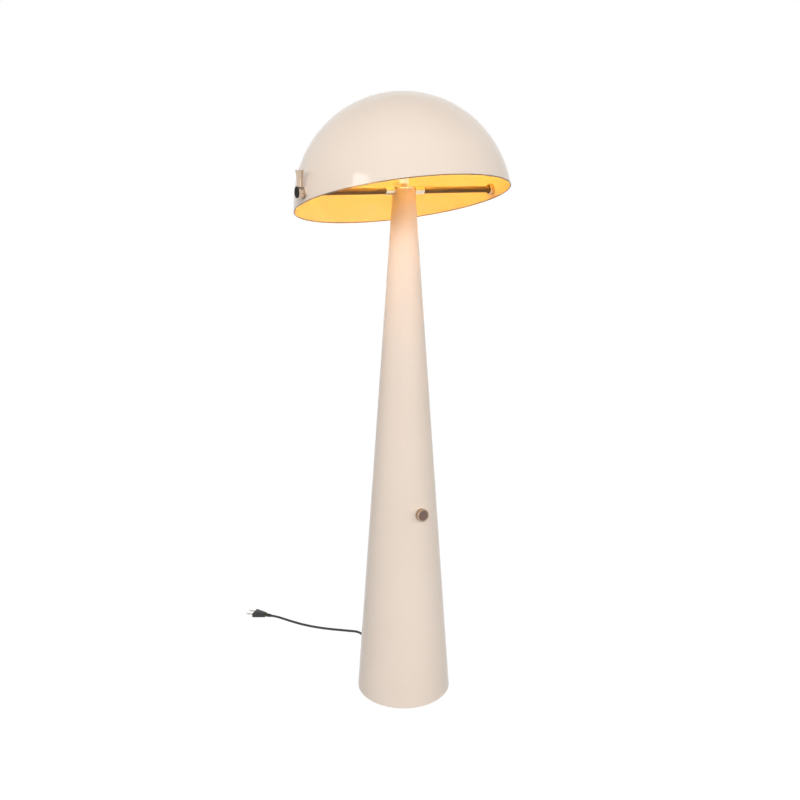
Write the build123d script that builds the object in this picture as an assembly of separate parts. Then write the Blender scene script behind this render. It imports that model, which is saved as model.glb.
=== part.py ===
"""Mushroom floor lamp: a tall cone carries a cross bar, and a domed shade tilts on its ends.

Millimetres, +Z up. The origin is on the floor at the centre of the foot. The front, the side
of the dimmer, faces -Y, and the cross bar lies along X. The shade is drawn as it rests, with
its front edge raised.
"""

import math
import os

from build123d import *
from build123d.topology.shape_core import SkipClean

# Cone, on its outside. Heights are above the floor.
foot_radius = 108.0
neck_radius = 23.0
neck_height = 1146.0
cone_wall = 2.0

# Foot
pad_thickness = 2.0
pad_inset = 5.0
weight_thickness = 30.0
washer_radius = 14.0
washer_thickness = 2.0
tie_nut_width = 19.0
tie_nut_height = 8.0
tube_radius = 6.5
tube_wall = 1.5
slot_clearance = 0.75

# Head of the cone
flange_thickness = 3.4
head_depth = 30.0
tube_thread = 15.0
channel_radius = 4.0
grub_radius = 2.0
grub_length = 3.2
grub_socket_radius = 1.1

# Cross bar
bar_drop = 5.0
bar_radius = 6.75
collar_radius = 8.25
collar_length = 21.5
collar_socket = 14.5
spigot_radius = 5.0
spigot_tip = 9.2
stud_radius = 5.0
stud_grip = 25.0

# Shade. The bar lies above its open edge and in front of the centre of the dome's sphere.
shade_radius = 225.0
shade_depth = 216.0
shade_wall = 1.2
pivot_above_rim = 19.0
pivot_forward = 12.3
rest_tilt = 14.4
rim_channel_width = 2.0
rim_channel_height = 1.8
rim_channel_bevel = 0.5

# Pivot of the shade, alike at both ends of the bar
hub_nut_radius = 11.5
hub_nut_edge = 8.0
hub_head_radius = 9.5
hub_head_edge = 1.2
sleeve_radius = 7.5
bush_wall = 0.9
friction_washer_radius = 9.0
friction_washer_thickness = 1.5
thrust_washer_radius = 9.0
thrust_washer_thickness = 1.0

# Clamp knob with its flared lever
knob_radius = 11.8
knob_length = 12.2
knob_bore_depth = 8.8
knob_cap_radius = 11.1
knob_cap_thickness = 0.9
knob_cap_spigot_radius = 4.0
knob_cap_spigot_length = 2.0
lever_reach = 42.0
lever_neck_radius = 6.0
lever_flare_radius = 8.8
lever_flare_length = 20.0
lever_spigot_radius = 4.0
lever_spigot_length = 4.8

# Dimmer
dimmer_height = 454.6
dimmer_body_width = 34.0
dimmer_body_height = 42.0
dimmer_body_depth = 20.0
dimmer_neck_radius = 4.0
dimmer_neck_reach = 3.4
dimmer_shaft_radius = 3.0
dimmer_shaft_grip = 12.0
dimmer_washer_radius = 7.0
dimmer_washer_thickness = 0.8
dimmer_nut_width = 11.0
dimmer_nut_height = 2.2
dimmer_knob_radius = 13.9
dimmer_knob_length = 10.6
dimmer_knob_gap = 0.6
dimmer_knob_wall = 2.2
dimmer_recess_depth = 4.4
dimmer_cap_radius = 11.4
dimmer_cap_depth = 1.0

# Lampholder and bulb
nipple_radius = 5.0
nipple_bore = 3.7
nipple_grip = 6.0
nipple_nut_width = 14.0
nipple_nut_height = 3.0
holder_stand_off = 6.0
holder_neck_radius = 10.0
holder_neck_height = 10.0
holder_shoulder = 12.6
holder_radius = 19.0
holder_skirt = 28.0
holder_wall = 2.0
core_radius = 15.0
core_height = 9.0
socket_radius = 14.2
socket_wall = 0.8
socket_length = 18.0
bulb_cap_radius = 13.1
bulb_cap_taper = 3.0
bulb_cap_length = 20.0
bulb_tip_radius = 4.5
bulb_tip_height = 2.0
bulb_neck_radius = 14.0
bulb_shoulder_angle = 38.0
bulb_radius = 30.0
bulb_length = 104.0
bulb_wall = 1.0
stem_radius = 4.0
stem_height = 30.0
filament_radius = 0.9
filament_length = 32.0
filament_count = 4
filament_foot_radius = 5.5
filament_lean = 9.0

# Cord, its outlet at the back of the foot and what holds it inside
cord_radius = 3.0
outlet_height = 16.0
gland_neck_radius = 6.0
gland_flange_radius = 9.0
gland_flange_thickness = 3.0
boot_length = 30.0
boot_root_radius = 5.6
boot_tip_radius = 4.1
gland_nut_radius = 10.0
gland_nut_thickness = 4.0
notch_half_width = 13.0
notch_depth = 47.0
block_length = 26.0
block_width = 18.0
block_height = 16.0
block_back = 46.0
clamp_gap = 1.0
clamp_length = 9.0
clamp_half_width = 12.0
clamp_bar_thickness = 1.6
clamp_screw_radius = 1.6
clamp_screw_spacing = 8.4
screw_head_radius = 2.8
screw_head_height = 2.0
screw_depth = 9.0
lead_radius = 2.5
lead_bend = 16.0

# Plug on the end of the cord
plug_length = 36.0
plug_width = 34.0
plug_thickness = 13.6
plug_nose_width = 24.0
plug_boot_length = 14.0
plug_boot_radius = 4.6
plug_boot_tip_wall = 1.0
pin_radius = 2.0
pin_length = 19.0
pin_spacing = 18.0

# Put-away coil of the cord: two layers, wound clockwise as seen from above
coil_radius = 47.4
coil_gap = 0.6
coil_quarter_turns = 28
coil_start = (12.0, 221.0)

# Clearances
running_clearance = 0.05
thread_clearance = 0.05
seat_gap = 0.1
assembly_clearance = 0.2

# Route of the cord, chosen by hand: from the strain relief to the coil, and on to the plug
floor_lift = 0.05
cord_floor = cord_radius + floor_lift
coil_top = cord_floor + 2 * cord_radius + coil_gap
plug_lift = plug_thickness / 2 + floor_lift
lead_route = [
    (0.0, 140.0, outlet_height),
    (0.0, 160.0, outlet_height),
    (12.0, 195.0, cord_floor),
    (12.0, 215.0, cord_floor),
]
run_route = [
    (12.0, 227.0, coil_top),
    (12.0, 243.0, coil_top),
    (9.0, 262.5, 6.0),
    (-3.5, 279.0, cord_floor),
    (-20.0, 293.5, cord_floor),
    (-38.5, 308.5, cord_floor),
    (-59.0, 328.0, cord_floor),
    (-79.5, 350.0, cord_floor),
    (-98.0, 374.5, cord_floor),
    (-113.5, 399.5, cord_floor),
    (-129.0, 423.0, 4.6),
    (-142.5, 440.5, plug_lift),
    (-153.5, 452.5, plug_lift),
]

# Route of the dimmer's lead, chosen by hand: first measured from its outlet on the terminal
# block, then from the straight run that ends in the dimmer
dimmer_lead_rise = [
    (18.0, 0.0, 0.0),
    (35.0, -2.0, 9.0),
    (45.0, -6.0, 25.0),
    (48.0, -12.0, 46.0),
    (45.0, -23.0, 81.0),
    (35.0, -41.0, 131.0),
    (21.0, -59.0, 196.0),
    (7.0, -74.0, 261.0),
]
dimmer_lead_bend = (8.0, 18.0, -38.0)
dimmer_lead_straight = 30.0
inner_cord_straight = 17.0
inner_cord_fall = 15.0

# Places that follow from the sizes
taper = (foot_radius - neck_radius) / neck_height
slope = math.degrees(math.atan(taper))
bar_height = neck_height - bar_drop
head_top = neck_height + flange_thickness
weight_top = pad_thickness + weight_thickness
rim_level = shade_radius - shade_depth
pivot_rise = rim_level + pivot_above_rim
pivot_offset = math.hypot(pivot_rise, pivot_forward)
shade_centre = (0.0, pivot_forward, bar_height - pivot_rise)
bush_radius = stud_radius + running_clearance + bush_wall

# How a primitive sits on its plane
standing = (Align.CENTER, Align.CENTER, Align.MIN)
hanging = (Align.CENTER, Align.CENTER, Align.MAX)


def cone_radius(height):
    """Radius of the cone's outside at a height."""
    return foot_radius - taper * height


def bore_radius(height):
    """Radius of the cone's inside at a height."""
    return cone_radius(height) - cone_wall / math.cos(math.radians(slope))


def dome_reach(radius, offset):
    """How far along X a sphere about the dome's centre reaches, at an offset from its X axis."""
    return math.sqrt(radius**2 - offset**2)


# Stations along the bar, measured from the lamp's axis
collar_face = cone_radius(bar_height - collar_radius) + seat_gap
collar_end = collar_face + collar_length
bar_start = collar_end - collar_socket
nut_face = dome_reach(shade_radius - shade_wall, pivot_offset + hub_nut_radius) - hub_nut_edge
head_face = dome_reach(shade_radius, pivot_offset - hub_head_radius) + hub_head_edge
bar_end = nut_face - seat_gap - friction_washer_thickness
knob_start = head_face + seat_gap + thrust_washer_thickness + seat_gap
knob_end = knob_start + knob_length
lever_station = knob_start + knob_length / 2
stud_end = knob_start + knob_bore_depth - 2 * seat_gap

# Heights of the lampholder and bulb
holder_base = head_top + holder_stand_off
shoulder_base = holder_base + holder_neck_height
skirt_base = shoulder_base + holder_shoulder
skirt_top = skirt_base + holder_skirt
core_top = skirt_base + core_height
bulb_base = core_top + seat_gap
glass_base = bulb_base + bulb_tip_height + bulb_cap_length
bulb_centre = bulb_base + bulb_length - bulb_radius


def rod(radius, start, end):
    """A round solid from one point to another."""
    start, end = Vector(*start), Vector(*end)
    return Plane(origin=start, z_dir=end - start) * Cylinder(radius, (end - start).length, align=standing)


def bar_rod(radius, start, end, side):
    """A round solid on the bar's axis, between two stations on one side of the lamp."""
    return rod(radius, (side * start, 0, bar_height), (side * end, 0, bar_height))


def upright(radius, bottom, top):
    """A round solid on the lamp's axis, between two heights."""
    return rod(radius, (0, 0, bottom), (0, 0, top))


def hexagon(width, bottom, top):
    """A hexagonal solid on the lamp's axis, as wide as a spanner across its flats."""
    outline = RegularPolygon(width / 2, 6, major_radius=False)
    return Pos(0, 0, bottom) * extrude(outline, top - bottom)


def turned(*edges):
    """A solid turned about the lamp's axis from edges drawn at Y = 0."""
    return revolve(make_face(edges), Axis.Z)


def lathe(*points):
    """A solid turned about the lamp's axis from (radius, height) corners."""
    outline = Polyline(*[(radius, 0, height) for radius, height in points], close=True)
    return revolve(make_face(outline), Axis.Z)


def dome_ball(radius):
    """A sphere about the dome's centre, with the shade level."""
    return Pos(*shade_centre) * Sphere(radius)


def both(piece):
    """A piece at both ends of the bar, as one group of two solids."""
    return Compound(children=[piece(-1), piece(1)])


def tilted(part):
    """Turns a piece of the shade from level to its rest tilt, about the bar."""
    return Pos(0, 0, bar_height) * Rot(-rest_tilt, 0, 0) * Pos(0, 0, -bar_height) * part


# The dimmer's axis leaves the wall square, at the front. Its plane lies on the outside of the wall.
dimmer_plane = Plane(
    origin=(0, -cone_radius(dimmer_height), dimmer_height),
    x_dir=(1, 0, 0),
    z_dir=(0, -math.cos(math.radians(slope)), math.sin(math.radians(slope))),
)


def dimmer_rod(radius, bottom, top):
    """A round solid on the dimmer's axis. Heights are outward from the wall's outside."""
    return dimmer_plane * (Pos(0, 0, bottom) * Cylinder(radius, top - bottom, align=standing))


def cone_bands():
    """Heights that divide the cone into bands, so that each row of holes has faces of its own."""
    dimmer_band = 2 * dimmer_knob_radius
    return [
        pad_thickness,
        2 * outlet_height,
        dimmer_height - dimmer_band,
        dimmer_height + dimmer_band,
        neck_height - head_depth,
        neck_height,
    ]


def cone_shell():
    """Sheet cone, open at both ends, with its holes for the bar, the dimmer and the cord."""
    bands = cone_bands()
    outer = [(cone_radius(height), 0, height) for height in bands]
    inner = [(bore_radius(height), 0, height) for height in reversed(bands)]
    shell = revolve(make_face(Polyline(*outer, *inner, close=True)), Axis.Z, clean=False)
    foot_edges = shell.edges().filter_by_position(Axis.Z, pad_thickness - 0.01, pad_thickness + 0.01)
    shell = fillet(foot_edges, 0.45 * cone_wall)
    notch_radius = spigot_radius + assembly_clearance
    holes = []
    for side in (-1, 1):
        holes.append(bar_rod(notch_radius, spigot_tip, collar_end, side))
        mouth_height = bar_drop + flange_thickness
        mouth = Box(collar_end - spigot_tip, 2 * notch_radius, mouth_height)
        holes.append(Pos(side * (spigot_tip + collar_end) / 2, 0, bar_height + mouth_height / 2) * mouth)
    neck = dimmer_neck_radius + assembly_clearance
    holes.append(dimmer_rod(neck, -2 * dimmer_body_depth, dimmer_knob_length))
    outlet = gland_neck_radius + assembly_clearance
    holes.append(outlet_rod(outlet, notch_depth, 2 * foot_radius))
    with SkipClean():
        for hole in holes:
            shell -= hole
    return shell


def base_weight():
    """Tapered iron disc in the foot, pulled up into the cone by the tie tube."""
    top, bottom = weight_top, pad_thickness
    weight = lathe(
        (0, bottom),
        (bore_radius(bottom) - seat_gap, bottom),
        (bore_radius(top) - seat_gap, top),
        (0, top),
    )
    recess = washer_thickness + tie_nut_height + pad_thickness
    weight -= upright(tube_radius + assembly_clearance, 0, top + 1)
    weight -= upright(washer_radius + 2 * assembly_clearance, 0, bottom + recess)
    notch = Box(2 * notch_half_width, notch_depth, top, align=(Align.CENTER, Align.MIN, Align.MIN))
    weight -= Pos(0, bore_radius(bottom) - notch_depth + 1, 0) * notch
    for x, y in clamp_screw_places() + block_screw_places():
        weight -= rod(clamp_screw_radius + thread_clearance, (x, y, top - screw_depth), (x, y, top + 1))
    return weight


def foot_pad():
    """Rubber disc that the lamp stands on. It covers the tie nut and keeps the cone off the floor."""
    return upright(bore_radius(0) - pad_inset, 0, pad_thickness)


def tie_ceiling():
    """Height of the ceiling of the recess under the weight."""
    return pad_thickness + washer_thickness + tie_nut_height + pad_thickness


def tie_washer():
    """Steel washer under the weight."""
    top = tie_ceiling()
    washer = upright(washer_radius, top - washer_thickness, top)
    return washer - upright(tube_radius + assembly_clearance, 0, weight_top)


def tie_nut():
    """Nut on the foot of the tie tube."""
    top = tie_ceiling() - washer_thickness
    nut = hexagon(tie_nut_width, top - tie_nut_height, top)
    return nut - upright(tube_radius + thread_clearance, 0, weight_top)


def lead_height():
    """Height at which the lamp's lead leaves the terminal block."""
    return weight_top + 0.55 * block_height


def tie_tube():
    """Steel tube from the nut in the foot to the head of the cone. The lamp's lead runs up inside it."""
    bottom = tie_ceiling() - washer_thickness - tie_nut_height - seat_gap
    top = neck_height - head_depth + tube_thread
    tube = upright(tube_radius, bottom, top) - upright(tube_radius - tube_wall, 0, neck_height)
    half_width = lead_radius + slot_clearance
    slot_bottom = lead_height() - half_width
    slot_top = lead_height() + lead_bend
    slot = Box(2 * half_width, 2 * tube_radius, slot_top - slot_bottom)
    return tube - Pos(0, tube_radius, (slot_top + slot_bottom) / 2) * slot


def grub_places():
    """Where the two grub screws stand in the head block's flange."""
    middle = (spigot_tip + neck_radius - cone_wall) / 2
    return [(-middle, 0), (middle, 0)]


def head_block():
    """Turned plug in the top of the cone, whose flange shows. It carries the bar and the lampholder."""
    bottom = neck_height - head_depth
    block = lathe(
        (channel_radius, bottom),
        (bore_radius(bottom) - seat_gap, bottom),
        (bore_radius(neck_height) - seat_gap, neck_height),
        (neck_radius, neck_height),
        (neck_radius, head_top),
        (channel_radius, head_top),
    )
    top_edges = block.edges().filter_by_position(Axis.Z, head_top - 0.01, head_top + 0.01)
    block = fillet(top_edges.sort_by(SortBy.RADIUS)[-1], 0.2 * flange_thickness)
    block -= upright(tube_radius + thread_clearance, bottom - 1, bottom + tube_thread)
    block -= upright(nipple_radius + thread_clearance, neck_height - nipple_grip, head_top + 1)
    for side in (-1, 1):
        block -= bar_rod(spigot_radius + running_clearance, spigot_tip - seat_gap, 2 * neck_radius, side)
    for x, y in grub_places():
        block -= rod(grub_radius + thread_clearance, (x, y, bar_height), (x, y, head_top + 1))
    return block


def grub_screws():
    """The two hollow-headed screws that lock the collars' spigots."""
    bottom = bar_height + spigot_radius + seat_gap
    top = min(bottom + grub_length, head_top - seat_gap)
    screws = []
    for x, y in grub_places():
        screw = rod(grub_radius, (x, y, bottom), (x, y, top))
        socket = RegularPolygon(grub_socket_radius, 6, major_radius=False)
        screws.append(screw - Pos(x, y, (bottom + top) / 2) * extrude(socket, grub_length))
    return Compound(children=screws)


def bar_collar(side):
    """Collar outside the neck. Its spigot is locked in the head block and its socket holds the bar."""
    collar = bar_rod(collar_radius, collar_face, collar_end, side)
    edges = collar.edges().filter_by(GeomType.CIRCLE)
    collar = fillet(edges, 0.08 * collar_radius)
    collar += bar_rod(spigot_radius, spigot_tip, collar_face + 1, side)
    return collar - bar_rod(bar_radius + running_clearance, bar_start, collar_end + 1, side)


def cross_bar(side):
    """One half of the cross bar, a tube from its collar to the shade."""
    bar = bar_rod(bar_radius, bar_start, bar_end, side)
    return bar - bar_rod(stud_radius + thread_clearance, bar_start - 1, bar_end + 1, side)


def pivot_stud(side):
    """Threaded stud in the end of the bar. The shade turns on it and the clamp knob screws onto it."""
    stud = bar_rod(stud_radius, bar_end - stud_grip, stud_end, side)
    tip = stud.edges().filter_by(GeomType.CIRCLE).sort_by(Axis.X)[-1 if side > 0 else 0]
    return chamfer(tip, 0.16 * stud_radius)


def friction_washer(side):
    """Fibre washer between one end of the bar and the shade's nut."""
    washer = bar_rod(friction_washer_radius, bar_end, bar_end + friction_washer_thickness, side)
    return washer - bar_rod(stud_radius + running_clearance, bar_start, stud_end, side)


def thrust_washer(side):
    """Washer between the shade's hub and the clamp knob."""
    start = head_face + seat_gap
    washer = bar_rod(thrust_washer_radius, start, start + thrust_washer_thickness, side)
    return washer - bar_rod(stud_radius + running_clearance, bar_start, stud_end, side)


def shade_dome():
    """Spun metal dome, a little less than half a sphere."""
    outer, inner = shade_radius, shade_radius - shade_wall
    start = math.degrees(math.asin(rim_level / outer))
    inner_start = math.degrees(math.asin(rim_level / inner))
    plane = Plane.XZ
    outer_arc = plane * CenterArc((0, 0), outer, start, 90 - start)
    inner_arc = plane * CenterArc((0, 0), inner, inner_start, 90 - inner_start)
    edge = Line(outer_arc @ 0, inner_arc @ 0)
    crown = Line(outer_arc @ 1, inner_arc @ 1)
    dome = Pos(*shade_centre) * turned(outer_arc, crown, inner_arc, edge)
    for side in (-1, 1):
        dome -= bar_rod(sleeve_radius + assembly_clearance, bar_end, 2 * shade_radius, side)
    return dome


def rim_trim():
    """Thin channel on the open edge of the dome, with its outer corners bevelled."""
    middle = dome_reach(shade_radius - shade_wall / 2, rim_level)
    half, bevel = rim_channel_width / 2, rim_channel_bevel
    bottom = shade_centre[2] + rim_level - rim_channel_height / 3
    top = bottom + rim_channel_height
    channel = lathe(
        (middle - half + bevel, bottom),
        (middle + half - bevel, bottom),
        (middle + half, bottom + bevel),
        (middle + half, top),
        (middle - half, top),
        (middle - half, bottom + bevel),
    )
    return Pos(0, shade_centre[1], 0) * channel - shade_dome()


def hub_bolt(side):
    """Hollow bolt through the dome's wall. Its head is shaped to the dome outside."""
    head = bar_rod(hub_head_radius, bar_end, head_face, side)
    tip = head.edges().filter_by(GeomType.CIRCLE).sort_by(Axis.X)[-1 if side > 0 else 0]
    head = fillet(tip, 0.4 * hub_head_edge) - dome_ball(shade_radius)
    bolt = head + bar_rod(sleeve_radius, nut_face, head_face, side)
    return tilted(bolt - bar_rod(bush_radius + running_clearance, bar_end - 1, head_face + 1, side))


def hub_nut(side):
    """Round nut inside the dome, shaped to its wall, that draws the hollow bolt tight."""
    nut = bar_rod(hub_nut_radius, nut_face, shade_radius, side)
    tip = nut.edges().filter_by(GeomType.CIRCLE).sort_by(Axis.X)[0 if side > 0 else -1]
    nut = fillet(tip, 0.3 * hub_nut_edge) & dome_ball(shade_radius - shade_wall)
    return tilted(nut - bar_rod(sleeve_radius + thread_clearance, bar_end - 1, shade_radius, side))


def pivot_bush(side):
    """Plain bearing in the hollow bolt, running on the stud."""
    bush = bar_rod(bush_radius, nut_face, head_face, side)
    return tilted(bush - bar_rod(stud_radius + running_clearance, bar_end, knob_end, side))


def clamp_knob(side):
    """Turned knob on the end of the stud, with a blind bore for it and a hole for the lever."""
    knob = bar_rod(knob_radius, knob_start, knob_end, side)
    knob = fillet(knob.edges().filter_by(GeomType.CIRCLE), 0.06 * knob_radius)
    knob -= bar_rod(stud_radius + running_clearance, knob_start - 1, knob_start + knob_bore_depth, side)
    cap_depth = knob_cap_spigot_length + seat_gap
    knob -= bar_rod(knob_cap_spigot_radius + running_clearance, knob_end - cap_depth, knob_end + 1, side)
    root = knob_radius - lever_spigot_length - seat_gap
    return knob - lever_rod(lever_spigot_radius + running_clearance, root, lever_reach, side)


def lever_rod(radius, start, end, side):
    """A round solid on the lever's axis, between two distances from the bar's axis."""
    x = side * lever_station
    return rod(radius, (x, 0, bar_height + start), (x, 0, bar_height + end))


def clamp_lever(side):
    """Round lever that stands up from the knob and flares towards its end."""
    root, seat = knob_radius - lever_spigot_length, knob_radius / 2
    neck, wide, flare_start = lever_neck_radius, lever_flare_radius, lever_reach - lever_flare_length
    stem = Polyline((0, 0, seat), (neck, 0, seat), (neck, 0, flare_start))
    flare = TangentArc((neck, 0, flare_start), (wide, 0, lever_reach), tangent=(0, 0, 1))
    top = Polyline((wide, 0, lever_reach), (0, 0, lever_reach), (0, 0, seat))
    lever = turned(*stem.edges(), flare, *top.edges())
    lever = fillet(lever.edges().filter_by(GeomType.CIRCLE).sort_by(Axis.Z)[-1], 0.1 * wide)
    lever = Pos(side * lever_station, 0, bar_height) * lever
    lever -= bar_rod(knob_radius, 0.5 * knob_start, 2 * knob_end, side)
    return lever + lever_rod(lever_spigot_radius, root, knob_radius + neck, side)


def knob_cap(side):
    """Dark disc on the end of the clamp knob, with a spigot into it."""
    cap = bar_rod(knob_cap_radius, knob_end, knob_end + knob_cap_thickness, side)
    tip = cap.edges().filter_by(GeomType.CIRCLE).sort_by(Axis.X)[-1 if side > 0 else 0]
    cap = fillet(tip, 0.3 * knob_cap_thickness)
    return cap + bar_rod(knob_cap_spigot_radius, knob_end - knob_cap_spigot_length, knob_end + 0.5, side)


def lamp_nipple():
    """Threaded tube that carries the lampholder on the head block."""
    bottom, top = neck_height - nipple_grip + seat_gap, holder_base + 0.7 * holder_neck_height
    return upright(nipple_radius, bottom, top) - upright(nipple_bore, bottom - 1, top + 1)


def nipple_nut():
    """Thin nut that locks the nipple."""
    nut = hexagon(nipple_nut_width, head_top, head_top + nipple_nut_height)
    return nut - upright(nipple_radius + thread_clearance, bar_height, shoulder_base)


def holder_cup():
    """Lower part of the lampholder: a neck that screws on the nipple, and a rounded shoulder."""
    neck, wide = holder_neck_radius, holder_radius
    neck_bore, hollow = nipple_radius + thread_clearance, nipple_radius + holder_wall
    bulge, bulge_height = neck + 0.62 * (wide - neck), shoulder_base + 0.35 * holder_shoulder
    outer = ThreePointArc((neck, 0, shoulder_base), (bulge, 0, bulge_height), (wide, 0, skirt_base))
    inner = ThreePointArc(
        (hollow, 0, shoulder_base),
        (bulge - holder_wall, 0, bulge_height + holder_wall),
        (wide - holder_wall, 0, skirt_base),
    )
    corner = Polyline(
        (hollow, 0, shoulder_base),
        (neck_bore, 0, shoulder_base),
        (neck_bore, 0, holder_base),
        (neck, 0, holder_base),
        (neck, 0, shoulder_base),
    )
    edge = Line((wide, 0, skirt_base), (wide - holder_wall, 0, skirt_base))
    return turned(outer, edge, inner, *corner.edges())


def holder_skirt_shell():
    """Upper part of the lampholder, round the bulb's cap, closed below by the core."""
    skirt = upright(holder_radius, skirt_base, skirt_top)
    rim = skirt.edges().filter_by(GeomType.CIRCLE).sort_by(Axis.Z)[-1]
    skirt = fillet(rim, 0.45 * holder_wall)
    return skirt - upright(holder_radius - holder_wall, skirt_base - 1, skirt_top + 1)


def holder_core():
    """Insulating insert that carries the contacts. It sits in the skirt."""
    wide = holder_radius - holder_wall - seat_gap
    core = lathe(
        (0, skirt_base - holder_wall),
        (core_radius - holder_wall, skirt_base - holder_wall),
        (core_radius, skirt_base),
        (wide, skirt_base),
        (wide, skirt_base + 0.4 * core_height),
        (core_radius, core_top),
        (0, core_top),
    )
    return core - upright(lead_radius + assembly_clearance, bar_height, skirt_base)


def holder_socket():
    """Brass screw shell that takes the bulb's cap."""
    bottom, top = core_top, core_top + socket_length
    return upright(socket_radius, bottom, top) - upright(socket_radius - socket_wall, bottom - 1, top + 1)


def bulb_cap():
    """Screw cap of the bulb with its contact."""
    base = bulb_base + bulb_tip_height
    return lathe(
        (0, bulb_base),
        (bulb_tip_radius, bulb_base),
        (bulb_tip_radius, base),
        (bulb_cap_radius - bulb_cap_taper, base),
        (bulb_cap_radius, base + bulb_cap_taper),
        (bulb_cap_radius, glass_base),
        (0, glass_base),
    )


def bulb_outline(inset):
    """Edges of the bulb's glass, from its neck to its crown, moved inwards by an inset."""
    neck = bulb_neck_radius - inset
    ball = bulb_radius - inset
    join = math.radians(bulb_shoulder_angle)
    side = (ball * math.cos(join), 0, bulb_centre - ball * math.sin(join))
    waist = TangentArc(side, (neck, 0, glass_base), tangent=(-math.sin(join), 0, -math.cos(join)))
    crown = (0, 0, bulb_centre + ball)
    ball_arc = ThreePointArc(side, (ball, 0, bulb_centre), crown)
    return waist, ball_arc


def bulb_glass():
    """Blown glass envelope of the bulb."""
    outer_waist, outer_ball = bulb_outline(0)
    inner_waist, inner_ball = bulb_outline(bulb_wall)
    foot = Line((bulb_neck_radius, 0, glass_base), (bulb_neck_radius - bulb_wall, 0, glass_base))
    crown = Line((0, 0, bulb_centre + bulb_radius), (0, 0, bulb_centre + bulb_radius - bulb_wall))
    return turned(outer_waist, outer_ball, crown, inner_ball, inner_waist, foot)


def bulb_stem():
    """Glass stem inside the bulb."""
    top = glass_base + stem_height
    stem = lathe(
        (0, glass_base),
        (bulb_neck_radius - 2 * bulb_wall, glass_base),
        (stem_radius, glass_base + 0.4 * stem_height),
        (stem_radius, top),
        (0, top),
    )
    ring = filament_foot_radius + filament_radius
    return stem + upright(ring, top - stem_radius, top)


def bulb_filaments():
    """Light strips that stand on the stem and lean outwards."""
    foot = glass_base + stem_height + seat_gap
    lift = filament_radius * math.sin(math.radians(filament_lean))
    strips = []
    for number in range(filament_count):
        strip = Cylinder(filament_radius, filament_length, align=standing)
        strip = Pos(filament_foot_radius, 0, foot + lift) * Rot(0, filament_lean, 0) * strip
        strips.append(Rot(0, 0, 360 * number / filament_count) * strip)
    return Compound(children=strips)


def dimmer_front():
    """How far inside the wall's outside the dimmer's body stands, so that its corners clear the curve."""
    inner = bore_radius(dimmer_height + dimmer_body_height / 2)
    sag = inner - math.sqrt(inner**2 - (dimmer_body_width / 2) ** 2)
    return cone_wall + sag + seat_gap


def dimmer_body():
    """Dimmer module inside the wall, with its threaded neck through it."""
    front = dimmer_front()
    box = Box(dimmer_body_width, dimmer_body_height, dimmer_body_depth, align=hanging)
    box = fillet(box.edges().filter_by(Axis.Z), 0.06 * dimmer_body_width)
    module = dimmer_plane * (Pos(0, 0, -front) * box)
    module += dimmer_rod(dimmer_neck_radius, -front - 1, dimmer_neck_reach)
    bore = dimmer_shaft_radius + running_clearance
    return module - dimmer_rod(bore, -front - dimmer_shaft_grip, dimmer_knob_length)


def dimmer_washer():
    """Washer outside the wall, under the dimmer's nut."""
    washer = dimmer_rod(dimmer_washer_radius, seat_gap, seat_gap + dimmer_washer_thickness)
    return washer - dimmer_rod(dimmer_neck_radius + assembly_clearance, -1, dimmer_neck_reach + 1)


def dimmer_nut():
    """Nut that holds the dimmer on the wall, hidden in the knob's recess."""
    bottom = seat_gap + dimmer_washer_thickness
    outline = RegularPolygon(dimmer_nut_width / 2, 6, major_radius=False)
    nut = dimmer_plane * (Pos(0, 0, bottom) * extrude(outline, dimmer_nut_height))
    return nut - dimmer_rod(dimmer_neck_radius + thread_clearance, -1, dimmer_neck_reach + 1)


def dimmer_shaft_top():
    """Height of the spindle's end in the knob."""
    return dimmer_knob_gap + dimmer_knob_length - dimmer_cap_depth - dimmer_knob_wall


def dimmer_shaft():
    """Spindle of the dimmer, from inside its body into the knob."""
    bottom = -dimmer_front() - dimmer_shaft_grip + seat_gap
    return dimmer_rod(dimmer_shaft_radius, bottom, dimmer_shaft_top())


def dimmer_knob():
    """Turned metal knob, hollow below for the nut and recessed above for its dark face."""
    bottom, top = dimmer_knob_gap, dimmer_knob_gap + dimmer_knob_length
    knob = dimmer_rod(dimmer_knob_radius, bottom, top)
    knob = fillet(knob.edges().filter_by(GeomType.CIRCLE), 0.05 * dimmer_knob_radius)
    knob -= dimmer_rod(dimmer_knob_radius - dimmer_knob_wall, bottom - 1, bottom + dimmer_recess_depth)
    knob -= dimmer_rod(dimmer_shaft_radius + running_clearance, bottom, dimmer_shaft_top() + seat_gap)
    return knob - dimmer_rod(dimmer_cap_radius + running_clearance, top - dimmer_cap_depth, top + 1)


def dimmer_cap():
    """Dark disc set in the face of the dimmer's knob."""
    top = dimmer_knob_gap + dimmer_knob_length
    return dimmer_rod(dimmer_cap_radius, top - dimmer_cap_depth, top)


def outlet_rod(radius, start, end):
    """A round solid on the cord outlet's axis, between two distances behind the lamp's axis."""
    return rod(radius, (0, start, outlet_height), (0, end, outlet_height))


def gland_stations():
    """Distances behind the lamp's axis of the gland: nut's faces, flange's outer face and boot's tip."""
    low = outlet_height - gland_nut_radius
    sag = gland_nut_radius**2 / (2 * bore_radius(outlet_height))
    nut_outer = bore_radius(2 * outlet_height - low) - sag - seat_gap
    flange_outer = cone_radius(low) + gland_flange_thickness
    return nut_outer - gland_nut_thickness, nut_outer, flange_outer, lead_route[0][1]


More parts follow.
